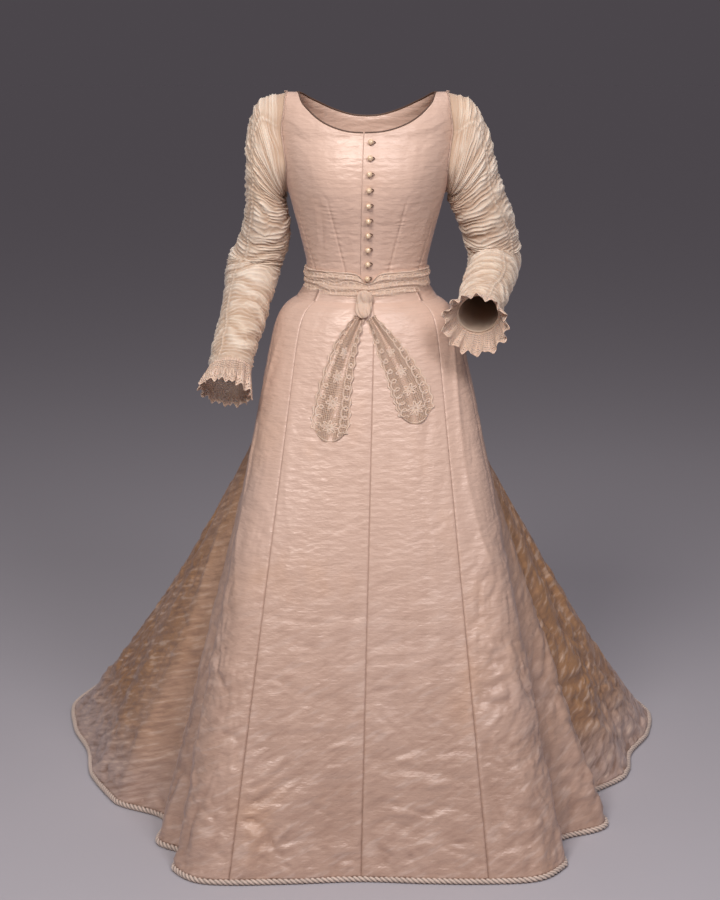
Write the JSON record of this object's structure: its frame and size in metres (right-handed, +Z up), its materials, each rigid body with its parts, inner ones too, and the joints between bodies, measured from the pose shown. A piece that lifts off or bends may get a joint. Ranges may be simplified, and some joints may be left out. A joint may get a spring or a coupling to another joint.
{
  "type": "evening gown",
  "caption": "Trained silk evening gown with a fitted buttoned bodice, gathered sleeves, lace cuffs, a knotted lace sash and a flared skirt edged with rope",
  "frame": {"origin": "middle of the shoulder line, at the top of the bodice straps, where the wearer's shoulders hold the gown", "axes": "+X towards the wearer's left, +Y towards the wearer's back, +Z up"},
  "size_m": [1.2723, 1.4515, 1.3701],
  "materials": {
    "silk_taffeta": "crisp, with a soft sheen",
    "silk_chiffon": "sheer, gathered crosswise",
    "tape_lace": "matt lace",
    "dark_silk": "soft sheen",
    "pearl": "pearl gloss",
    "silk_cord": "twisted, with a soft sheen"
  },
  "bodies": {
    "root": {"bodice_front_right": "silk_taffeta", "bodice_front_left": "silk_taffeta", "bodice_back": "silk_taffeta", "neck_binding": "dark_silk", "armhole_piping_right": "silk_taffeta", "armhole_piping_left": "silk_taffeta", "button_01": "pearl", "button_02": "pearl", "button_03": "pearl", "button_04": "pearl", "button_05": "pearl", "button_06": "pearl", "button_07": "pearl", "button_08": "pearl", "button_09": "pearl", "button_10": "pearl", "sleeve_right_head": "silk_chiffon", "sleeve_right_upper": "silk_chiffon", "sleeve_right_lower": "silk_chiffon", "sleeve_right_wrist": "silk_chiffon", "sleeve_left_head": "silk_chiffon", "sleeve_left_upper": "silk_chiffon", "sleeve_left_lower": "silk_chiffon", "cuff_right": "tape_lace", "cuff_left": "tape_lace", "sash_band": "tape_lace", "sash_knot": "tape_lace", "sash_tail_right": "tape_lace", "sash_tail_left": "tape_lace", "skirt_left_front": "silk_taffeta", "skirt_left_side_fore": "silk_taffeta", "skirt_left_side_rear": "silk_taffeta", "skirt_left_side_back_fore": "silk_taffeta", "skirt_left_side_back_rear": "silk_taffeta", "skirt_left_back_fore": "silk_taffeta", "skirt_left_back_rear": "silk_taffeta", "skirt_right_back_rear": "silk_taffeta", "skirt_right_back_fore": "silk_taffeta", "skirt_right_side_back_rear": "silk_taffeta", "skirt_right_side_back_fore": "silk_taffeta", "skirt_right_side_rear": "silk_taffeta", "skirt_right_side_fore": "silk_taffeta", "skirt_right_front": "silk_taffeta", "hem_rope_left_front": "silk_cord", "hem_rope_left_side": "silk_cord", "hem_rope_left_side_back": "silk_cord", "hem_rope_left_back": "silk_cord", "hem_rope_right_back": "silk_cord", "hem_rope_right_side_back": "silk_cord", "hem_rope_right_side": "silk_cord", "hem_rope_right_front": "silk_cord"}
  },
  "joints": []
}
